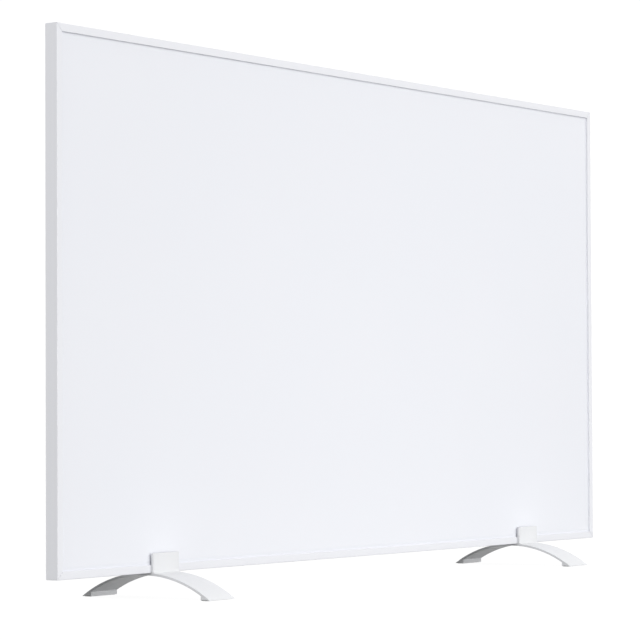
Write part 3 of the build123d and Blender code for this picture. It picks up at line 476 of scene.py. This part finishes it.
def make_plate():
    """Thin sheet y(u, v) = edge - crown r - wave min(1, rise r) cos(2.5 pi u) cos(1.5 pi v), where r is
    (1 - u^2)(1 - v^2) and u and v run from -1 to 1 across it: held flat by the lips at its rim, a hair
    proud in the middle.  The sheet's thickness is given to it after."""
    low, high = node_box("front_plate")
    columns, rows = 97, 49
    u, v = np.meshgrid(np.linspace(-1, 1, columns), np.linspace(-1, 1, rows))
    rim = (1 - u ** 2) * (1 - v ** 2)
    held = plate_wave * np.minimum(1, rim_rise * rim)
    depth = -plate_crown * rim - held * np.cos(waves_across * pi * u) * np.cos(waves_up * pi * v)
    centre, half = (low + high) / 2, (high - low) / 2
    points = np.stack([centre[0] + u * half[0], low[1] + depth, centre[2] + v * half[2]], axis=-1)
    faces = quads(rows, columns, closed=False).tolist()
    plate = piece("radiating_plate", [(points.reshape(-1, 3), faces)], "front_plate")
    if plate.data.polygons[0].normal.y > 0:
        plate.data.flip_normals()
    wall = plate.modifiers.new("sheet_thickness", "SOLIDIFY")
    wall.thickness = (high[1] - low[1]) * MM
    wall.offset = -1


make_plate()

# -------------------------------------------------------------------------------------- feet
crown_height = panel_bottom
foot_length = 180.0
foot_wall = 2.8
toe_length = 13.5
toe_lift = 0.4
tab_height, tab_thickness = 22.0, 3.0
tab_gap = 0.3
clamp_space = 5.0
seat_gap = 0.3
toe_pad_inset, toe_pad_width, toe_pad_thickness = 8.0, 8.0, 1.0
tab_root_radius, tab_edge_radius = 3.0, 0.6
foot_end_radius = 0.18
toe_edge_radius = 0.2
arch_step = 5.0
clamp_rise = 10.0

arch_radius = (foot_length ** 2 / 4 + crown_height ** 2) / (2 * crown_height)
arch_centre = crown_height - arch_radius
soffit_radius = arch_radius - foot_wall
tip_y = sqrt(arch_radius ** 2 - (toe_lift - arch_centre) ** 2)
toe_y = foot_length / 2 - toe_length
front_tab_y = panel_front - tab_gap
rear_tab_y = panel_rear + clamp_space
tab_top = crown_height + tab_height
clamp_z = crown_height + clamp_rise


def arc_run(start, end, radius):
    """Bare outline points on a circle about the arch's centre, evenly spaced by angle between two y's."""
    first, last = np.arcsin(start / radius), np.arcsin(end / radius)
    count = int(abs(last - first) * radius / arch_step)
    angle = np.linspace(first, last, count + 1)[1:-1]
    return np.stack([radius * np.sin(angle), arch_centre + radius * np.cos(angle), 0 * angle], axis=1)


def on_arc(y, radius):
    """Height of a circle about the arch's centre at y."""
    return arch_centre + sqrt(radius ** 2 - y ** 2)


def half_underside(side):
    """Corners (y, z, radius) of one toe's underside from its wall to its tip, with the pad's recess."""
    pad_middle = foot_length / 2 - toe_pad_inset
    pad_in, pad_out = pad_middle - toe_pad_width / 2, pad_middle + toe_pad_width / 2
    return np.array([
        (side * toe_y, on_arc(toe_y, soffit_radius), fine_radius),
        (side * toe_y, toe_lift, toe_edge_radius),
        (side * pad_in, toe_lift, toe_edge_radius), (side * pad_in, toe_pad_thickness, fine_radius),
        (side * pad_out, toe_pad_thickness, fine_radius), (side * pad_out, toe_lift, toe_edge_radius),
        (side * tip_y, toe_lift, toe_edge_radius),
    ])


front_face, rear_face = front_tab_y - tab_thickness, rear_tab_y + tab_thickness
seat = crown_height - seat_gap
foot_outline = round_corners(np.concatenate([
    half_underside(1),
    arc_run(tip_y, rear_face, arch_radius),
    [
        (rear_face, on_arc(rear_face, arch_radius), tab_root_radius),
        (rear_face, tab_top, tab_edge_radius), (rear_tab_y, tab_top, tab_edge_radius),
        (rear_tab_y, seat, fine_radius), (front_tab_y, seat, fine_radius),
        (front_tab_y, tab_top, tab_edge_radius), (front_face, tab_top, tab_edge_radius),
        (front_face, on_arc(front_face, arch_radius), tab_root_radius),
    ],
    arc_run(front_face, -tip_y, arch_radius),
    half_underside(-1)[::-1],
    arc_run(-toe_y, toe_y, soffit_radius),
]), steps=7)

# The toe pad's section, with grooves in its sole
groove_pitch, groove_mouth, groove_root, groove_depth = 2.0, 1.2, 0.6, 0.4
groove_lip_radius, groove_root_radius, sole_radius, back_radius = 0.15, 0.1, 0.3, 0.1
pad_end_radius = 0.1
half_pad = toe_pad_width / 2
groove = (
    (-groove_mouth / 2, 0, groove_lip_radius), (-groove_root / 2, groove_depth, groove_root_radius),
    (groove_root / 2, groove_depth, groove_root_radius), (groove_mouth / 2, 0, groove_lip_radius),
)
pad_outline = round_corners([
    (-half_pad, toe_pad_thickness, back_radius), (-half_pad, 0, sole_radius),
    *((n * groove_pitch + y, z, radius) for n in (-1, 0, 1) for y, z, radius in groove),
    (half_pad, 0, sole_radius), (half_pad, toe_pad_thickness, back_radius),
], steps=3)

screw_radius = 2.5
thread_pitch = 0.8
thread_depth = 0.45
flutes = 12
flute_depth = 1.0
tab_bore_radius, tab_bore_bevel, overrun = 2.55, 0.35, 1.0
bore_columns = 40
tab_bore = np.array([
    # depth from the tab's front face, radius
    (-overrun, 0), (-overrun, tab_bore_radius + tab_bore_bevel), (0, tab_bore_radius + tab_bore_bevel),
    (tab_bore_bevel, tab_bore_radius), (tab_thickness - tab_bore_bevel, tab_bore_radius),
    (tab_thickness, tab_bore_radius + tab_bore_bevel),
    (tab_thickness + overrun, tab_bore_radius + tab_bore_bevel), (tab_thickness + overrun, 0),
])


def make_knob(side, centre):
    """Knob turned about Y: a collar, a fluted rim with a rounded ring at its end, and inside the ring a
    shallow dish with a slightly crowned floor; from the panel's side, a blind bore for the screw.  The
    rim's radius is R - depth (0.5 + 0.5 cos 12 t)^2, and the flutes fade out over ring and collar."""
    near, columns = node_box(f"clamp_knob_{side}")[0][1], 144
    rows = np.array([
        # y from the knob's near end, radius, share of the flutes
        # bore and collar
        (6.0, 0.0, 0), (6.0, 2.52, 0), (0.2, 2.52, 0), (0.0, 2.8, 0), (0.0, 4.9, 0), (0.25, 5.2, 0),
        (1.3, 5.25, 0), (1.5, 5.5, 0.3), (1.6, 6.3, 0.8),
        # rim
        (1.8, 6.75, 1), (2.2, 6.97, 1), (3.2, 7.0, 1), (5.0, 7.0, 1), (6.8, 7.0, 1), (7.8, 6.95, 1),
        # ring
        (8.4, 6.7, 0.9), (8.8, 6.25, 0.6), (8.98, 5.7, 0.25), (9.0, 5.2, 0), (8.95, 4.9, 0),
        # dish
        (8.6, 4.6, 0), (8.3, 4.4, 0), (8.2, 4.1, 0), (8.25, 3.6, 0), (8.45, 2.0, 0), (8.5, 0.0, 0),
    ])
    along, rim, fluted = rows[:, 0:1], rows[:, 1:2], rows[:, 2:3]
    scallop = flute_depth * (0.5 + 0.5 * np.cos(flutes * around(columns))) ** 2
    shell = turned(rim - fluted * scallop, near + along, centre, ABOUT_Y)
    piece(f"knob_{side}", [shell], f"clamp_knob_{side}")


def make_screw(side, centre):
    """Threaded shank turned about Y.  Its radius is R - depth |2 frac(y / pitch - t / 2 pi) - 1|, eased to
    the root at the first and last turn, with a plain tip for the swivelling pad."""
    low, high = node_box(f"clamp_screw_{side}")
    tip_radius, tip_length, tip_edge = 1.55, 1.5, 0.2
    columns, per_turn = 36, 8
    near, shoulder, far = low[1], low[1] + tip_length, high[1]
    y = np.linspace(shoulder, far, int((far - shoulder) / thread_pitch * per_turn))[:, None]
    ease = np.clip(np.minimum(y - shoulder, far - y) / thread_pitch, 0, 1)
    shank = screw_radius - thread_depth * (1 - ease * (1 - thread_wave(y, thread_pitch, columns)))
    tip = np.array([
        (near, 0), (near, tip_radius - tip_edge), (near + tip_edge, tip_radius), (shoulder, tip_radius),
    ])
    radius = np.concatenate([np.repeat(tip[:, 1:], columns, axis=1), shank, np.zeros((1, columns))])
    along = np.concatenate([tip[:, :1], y, [[far]]])
    shell = turned(radius, along, centre, ABOUT_Y)
    piece(f"threaded_screw_{side}", [shell], f"clamp_screw_{side}", sharp_degrees=50)


def make_pad(side, centre):
    """Swivelling pad turned about Y: a disc with a round rim, a shallow dished face and a socket for the
    screw's tip."""
    near, columns = node_box(f"clamp_pad_{side}")[0][1], 48
    profile = np.array([
        # y from the pad's face, radius
        (0.25, 0.0), (0.25, 3.0), (0.05, 3.6), (0.0, 3.9), (0.1, 4.2), (0.35, 4.45), (0.7, 4.5), (1.7, 4.5),
        (2.1, 4.4), (2.4, 4.1), (2.5, 3.7), (2.5, 1.8), (2.4, 1.6), (1.0, 1.6), (1.0, 0.0),
    ])
    shell = lathed(profile + (near, 0), columns, centre, ABOUT_Y)
    piece(f"swivel_pad_{side}", [shell], f"clamp_pad_{side}")


for side in ("left", "right"):
    low, high = node_box(f"foot_{side}")
    pad_low, pad_high = node_box(f"toe_pads_{side}")
    centre = np.array([(low[0] + high[0]) / 2, 0, 0])
    screw_axis = centre + (0, 0, clamp_z)
    body = extrusion(foot_outline, high[0] - low[0], foot_end_radius, centre, ACROSS_X)
    foot = piece(f"arched_foot_{side}", [body], f"foot_{side}", sharp_degrees=28)
    drill(foot, [lathed(tab_bore + (rear_tab_y, 0), bore_columns, screw_axis, ABOUT_Y)], sharp_degrees=28)
    steady(foot)
    strips = [
        extrusion(pad_outline, pad_high[0] - pad_low[0], pad_end_radius, centre + (0, y, 0), ACROSS_X)
        for y in (toe_pad_inset - foot_length / 2, foot_length / 2 - toe_pad_inset)
    ]
    piece(f"ribbed_toe_pads_{side}", strips, f"toe_pads_{side}")
    make_knob(side, screw_axis)
    make_screw(side, screw_axis)
    make_pad(side, screw_axis)

# ------------------------------------------------------------- connection box and its gland


def hexagon(columns, flats):
    """Radius of a hexagon over a turn: half its flats, divided by the cosine of the angle from the
    middle of the nearest flat."""
    return flats / 2 / np.cos((around(columns) + pi / 6) % (pi / 3) - pi / 6)


def make_gland_nut():
    """Clamping nut about a line down from the box.  Its radius is the smaller of a limit and of s hexagon +
    (1 - s) limit: at s = 1 a hexagon whose edges are turned away by a cone, and below it, as s falls to 0,
    a dome.  Grip ribs of 24 cosine waves are cut into the dome."""
    low, high = node_box("gland_nut")
    centre = np.array([(low[0] + high[0]) / 2, (low[1] + high[1]) / 2, high[2]])
    columns, ribs, rib_depth, roof_thickness = 144, 24, 0.3, 2.5
    total = high[2] - low[2]
    roof = total - roof_thickness
    rows = np.array([
        # depth below the nut's top, limit of the radius, share s of the hexagon, share of the ribs
        # thread side
        (roof, 7.5, 0, 0), (0.3, 7.5, 0, 0), (0.0, 7.8, 0, 0),
        # hexagon
        (0.0, 9.6, 1, 0), (0.3, 10.4, 1, 0), (0.8, 11.2, 1, 0), (1.4, 11.6, 1, 0), (3.0, 11.6, 1, 0),
        (4.6, 11.6, 1, 0), (5.4, 11.2, 0.8, 0), (6.0, 10.6, 0.4, 0), (6.5, 9.9, 0.1, 0.3),
        # dome
        (7.2, 9.7, 0, 1), (8.5, 9.6, 0, 1), (10.0, 9.4, 0, 1), (10.6, 9.2, 0, 0.8), (11.4, 8.7, 0, 0.3),
        (12.1, 8.0, 0, 0), (12.7, 7.0, 0, 0), (total, 6.0, 0, 0), (total, 5.1, 0, 0),
        # cord hole and the roof's inner side
        (total - 0.2, 4.7, 0, 0), (total - 0.6, 4.4, 0, 0), (roof, 4.4, 0, 0), (roof, 7.5, 0, 0),
    ])
    depth, limit, share, ribbed = rows[:, 0:1], rows[:, 1:2], rows[:, 2:3], rows[:, 3:4]
    hexed = share * hexagon(columns, high[1] - low[1]) + (1 - share) * limit
    rib = rib_depth * (0.5 + 0.5 * np.cos(ribs * around(columns)))
    shell = turned(np.minimum(limit, hexed) - ribbed * rib, depth, centre, DOWN_Z)
    piece("gland_clamping_nut", [shell], "gland_nut", sharp_degrees=40)


def rounded_rectangle(across, up, radius, steps=9):
    """Anticlockwise outline of a rectangle with round corners, about the origin."""
    x, z = across / 2, up / 2
    return round_corners([(-x, -z, radius), (x, -z, radius), (x, z, radius), (-x, z, radius)], steps)


def make_lid():
    """Lid as rings of one rounded rectangle, each drawn in by its own inset at its own height: the edge
    falls away in a quarter round, a bead runs round a field that is sunk by 0.5 mm, and flat faces close
    both ends.  Plain holes for its four screws are then drilled through."""
    low, high = node_box("box_lid")
    centre, size = (low + high) / 2, high - low
    corner_radius, least_radius = 6.0, 0.6
    bead_top = 2.6
    hole_inset, hole_radius = 9.0, 1.85
    rings = np.array([
        # inset from the outline, height above the lid's underside
        # underside and its rim
        (3.4, 0.0), (1.9, 0.0), (1.9, 0.8), (0.3, 0.8), (0.3, 0.1), (0.15, 0.0), (0.0, 0.15),
        # edge
        (0.0, 1.5), (0.1, 1.95), (0.35, 2.3), (0.7, 2.52), (1.1, bead_top),
        # bead and field
        (2.0, bead_top), (2.3, 2.55), (2.55, 2.4), (2.75, 2.2), (3.0, 2.1), (5.0, 2.1),
    ])
    shapes = []
    for inset, rise in rings:
        radius = max(corner_radius - inset, least_radius)
        x, z = rounded_rectangle(size[0] - 2 * inset, size[2] - 2 * inset, radius).T
        shapes.append(np.column_stack([x, np.full(len(x), rise), z]))
    count = len(shapes[0])
    caps = [list(range(count)), list(range((len(rings) - 1) * count, len(rings) * count))]
    points = np.concatenate(shapes) + (centre[0], low[1], centre[2])
    lid = piece("box_lid_moulding", [(points, quads(len(rings), count).tolist() + caps)], "box_lid")
    hole = np.array([(-overrun, 0), (-overrun, hole_radius), (bead_top, hole_radius), (bead_top, 0)])
    drill(lid, [
        lathed(hole, bore_columns, (x, low[1], z), ABOUT_Y)
        for x in (low[0] + hole_inset, high[0] - hole_inset)
        for z in (low[2] + hole_inset, high[2] - hole_inset)
    ])
    steady(lid)


def make_inserts():
    """Four rivet nuts about Y: a thin round flange, a sleeve, and a bore with the thread of an M6 nut, of
    radius r + depth (1 - |2 frac(y / pitch - t / 2 pi) - 1|)."""
    low, high = node_box("wall_inserts")
    flange_radius, flange_thickness, sleeve_radius, bevel = 6.0, 0.8, 4.4, 0.3
    bore_radius, mouth_radius = 2.5, 3.1
    pitch, depth, columns, per_turn = 1.0, 0.5, 36, 8
    near_lead, far_lead = 0.4, 0.6
    root, mouth = low[1], high[1]
    count = int((mouth - root - near_lead - far_lead) / pitch * per_turn)
    y = np.linspace(root + near_lead, mouth - far_lead, count)[:, None]
    thread = bore_radius + depth * (1 - thread_wave(y, pitch, columns))
    profile = np.array([
        # y, radius
        # flange with its rounded edge
        (mouth, mouth_radius), (mouth, flange_radius - 0.3), (mouth - 0.1, flange_radius - 0.08),
        (mouth - 0.3, flange_radius), (mouth - flange_thickness, flange_radius),
        # sleeve
        (mouth - flange_thickness, sleeve_radius), (root + bevel, sleeve_radius),
        (root, sleeve_radius - bevel), (root, mouth_radius),
    ])
    rim = np.full((1, columns), mouth_radius)
    radius = np.concatenate([np.repeat(profile[:, 1:], columns, axis=1), thread, rim])
    along = np.concatenate([profile[:, :1], y, [[mouth]]])
    piece("threaded_inserts", [
        turned(radius, along, (x, 0, z), ABOUT_Y)
        for x in (low[0] + flange_radius, high[0] - flange_radius)
        for z in (low[2] + flange_radius, high[2] - flange_radius)
    ], "wall_inserts", sharp_degrees=45)


make_lid()
make_gland_nut()
make_inserts()

# ---------------------------------------------------------------------------------- studio
# The sky's broad lobes, each strength x max(0, cos of the angle from it)^spread
sky_base = 0.03
sky_lobes = (
    # towards, spread, strength
    ((-0.10, -0.97, 0.21), 4.0, 2.155),
    ((0.0, 0.15, 0.99), 1.0, 0.39),
    ((0.42, 0.87, 0.26), 2.0, 1.45),
    ((0.93, -0.30, 0.20), 2.0, 0.35),
    ((-0.96, 0.05, 0.28), 4.0, 0.7),
)

world = bpy.data.worlds.new("studio_light")
bpy.context.scene.world = world
world.use_nodes = True
tree = world.node_tree
tree.nodes.clear()
direction = add(tree, "ShaderNodeTexCoord").outputs["Generated"]
level = add(tree, "ShaderNodeMath", operation="ADD", i0=sky_base, i1=0.0)
for towards, spread, strength in sky_lobes:
    aim = tuple(Vector(towards).normalized())
    facing = add(tree, "ShaderNodeVectorMath", {0: direction}, operation="DOT_PRODUCT", i1=aim)
    front = add(tree, "ShaderNodeMath", {0: facing.outputs["Value"]}, operation="MAXIMUM", i1=0.0)
    lobe = add(tree, "ShaderNodeMath", {0: front.outputs[0]}, operation="POWER", i1=spread)
    terms = {0: lobe.outputs[0], 2: level.outputs[0]}
    level = add(tree, "ShaderNodeMath", terms, operation="MULTIPLY_ADD", i1=strength)
sky = add(tree, "ShaderNodeBackground", {"Strength": level.outputs[0]}, Color=(1, 1, 1, 1))
add(tree, "ShaderNodeOutputWorld", {"Surface": sky.outputs[0]})


def soft_light(name, place_mm, aim_mm, size_mm, watts):
    """A square soft box that the camera doesn't see, turned towards a point."""
    light = bpy.data.lights.new(name, "AREA")
    light.size = size_mm * MM
    light.energy = watts
    lamp = bpy.data.objects.new(name, light)
    bpy.context.scene.collection.objects.link(lamp)
    place, aim = Vector(place_mm) * MM, Vector(aim_mm) * MM
    facing = (place - aim).to_track_quat("Z", "Y").to_matrix().to_4x4()
    lamp.matrix_world = Matrix.Translation(place) @ facing
    lamp.visible_camera = False


soft_light("side_box", (-3500, -150, 1500), (-600, 0, 450), 1000, 19.0)
soft_light("low_front_box", (50, -800, 60), (50, 0, 120), 500, 0.5)
soft_light("right_front_box", (1500, -1500, 600), (300, 0, 330), 1000, 1.9)
soft_light("right_top_box", (1500, -150, 1500), (410, 0, 30), 800, 3.6)


def stage_piece(
    name, points, faces, own_light, paint, seen_by_camera=True, seen_in_gloss=False, lights_up=False,
):
    """Plain studio surface from points in mm, with white light of its own and paint, black at 0 and white
    at 1, that takes shadow.  Unless it lights_up, it sends no light to matt surfaces and stops none."""
    material, _, shader, _ = start_material(name)
    shader.inputs["Base Color"].default_value = (paint, paint, paint, 1)
    shader.inputs["Roughness"].default_value = 1.0
    shader.inputs["Specular IOR Level"].default_value = 0.0
    shader.inputs["Emission Color"].default_value = (1, 1, 1, 1)
    shader.inputs["Emission Strength"].default_value = own_light
    mesh = bpy.data.meshes.new(name)
    mesh.from_pydata((np.array(points) * MM).tolist(), [], faces)
    mesh.materials.append(material)
    obj = bpy.data.objects.new(name, mesh)
    bpy.context.scene.collection.objects.link(obj)
    obj.visible_camera = seen_by_camera
    obj.visible_glossy = seen_in_gloss
    obj.visible_diffuse = obj.visible_shadow = lights_up
    obj.visible_transmission = obj.visible_volume_scatter = False


def dome(radius, lowest):
    """Points and faces of a sphere about the origin, from an angle above or below the floor to its top:
    x = R cos b cos a, y = R cos b sin a, z = R sin b."""
    around_count, up_count = 49, 25
    a, b = np.meshgrid(np.linspace(0, 2 * pi, around_count), np.linspace(lowest, pi / 2, up_count))
    points = np.stack([np.cos(b) * np.cos(a), np.cos(b) * np.sin(a), np.sin(b)], axis=-1) * radius
    inwards = quads(up_count, around_count, closed=False)[:, [0, 3, 2, 1]]
    return points.reshape(-1, 3), inwards.tolist()


# A dark grey card left of each foot's rear half keeps the side light off its edge
card_inset, card_front, card_rear, card_height = 25.0, 14.0, 110.0, 40.0
card_paint = 0.1
card_corners = ((card_front, 0), (card_rear, 0), (card_rear, card_height), (card_front, card_height))
for side in ("left", "right"):
    card_x = node_box(f"foot_{side}")[0][0] - card_inset
    stage_piece(
        f"{side}_card", [(card_x, y, z) for y, z in card_corners], [(0, 1, 2, 3)], 0.0, card_paint,
        seen_by_camera=False, lights_up=True,
    )

# Light from the floor just in front of the panel, beside and between the feet, as a pale floor gives back
glow_front, glow_rear, glow_level, glow_light = -80.0, -8.0, -2.0, 0.31
glow_runs = ((-600, -450), (-370, 370), (450, 600))
glow_points = [
    (x, y, glow_level) for left, right in glow_runs
    for x, y in ((left, glow_front), (right, glow_front), (right, glow_rear), (left, glow_rear))
]
glow_faces = [tuple(range(4 * n, 4 * n + 4)) for n in range(len(glow_runs))]
stage_piece(
    "floor_glow", glow_points, glow_faces, glow_light, 0.0, seen_by_camera=False, lights_up=True,
)

# The floor and the backdrop that the camera sees, and the dimmer room that shows in gloss
studio_reach = 30000.0
floor_light, floor_paint = 0.95, 0.1
backdrop_light = 1.05
room_light, room_lowest = 0.7, -0.1
floor_points = [(x * studio_reach, y * studio_reach, 0) for x, y in ((-1, -1), (1, -1), (1, 1), (-1, 1))]
stage_piece("studio_floor", floor_points, [(0, 1, 2, 3)], floor_light, floor_paint)
stage_piece("backdrop", *dome(studio_reach, -pi / 2), backdrop_light, 0.0)
stage_piece(
    "reflected_room", *dome(studio_reach / 2, room_lowest), room_light, 0.0,
    seen_by_camera=False, seen_in_gloss=True,
)

# ---------------------------------------------------------------------------------- camera
photo_side = 640
focal_px = 2963.07
sensor_mm = 36.0
far_clip_m = 100.0
camera_place = Vector((-3089.40, -2003.81, 211.46)) * MM
camera_yaw = 0.98352
camera_pitch = 0.0300
camera_roll = -0.00413

# Straight ahead, right and up of the camera: turned by its yaw, raised by its pitch, then rolled
level_run = cos(camera_pitch)
ahead = Vector((sin(camera_yaw) * level_run, cos(camera_yaw) * level_run, sin(camera_pitch)))
level_right = Vector((cos(camera_yaw), -sin(camera_yaw), 0))
level_up = level_right.cross(ahead)
right = level_right * cos(camera_roll) + level_up * sin(camera_roll)
up = level_up * cos(camera_roll) - level_right * sin(camera_roll)
lens = bpy.data.cameras.new("camera")
lens.sensor_width = sensor_mm
lens.lens = focal_px * sensor_mm / photo_side
lens.clip_end = far_clip_m
camera = bpy.data.objects.new("camera", lens)
bpy.context.scene.collection.objects.link(camera)
turn = Matrix((right, up, -ahead)).transposed().to_4x4()
camera.matrix_world = Matrix.Translation(camera_place) @ turn
bpy.context.scene.camera = camera
bpy.context.scene.view_settings.view_transform = "Standard"
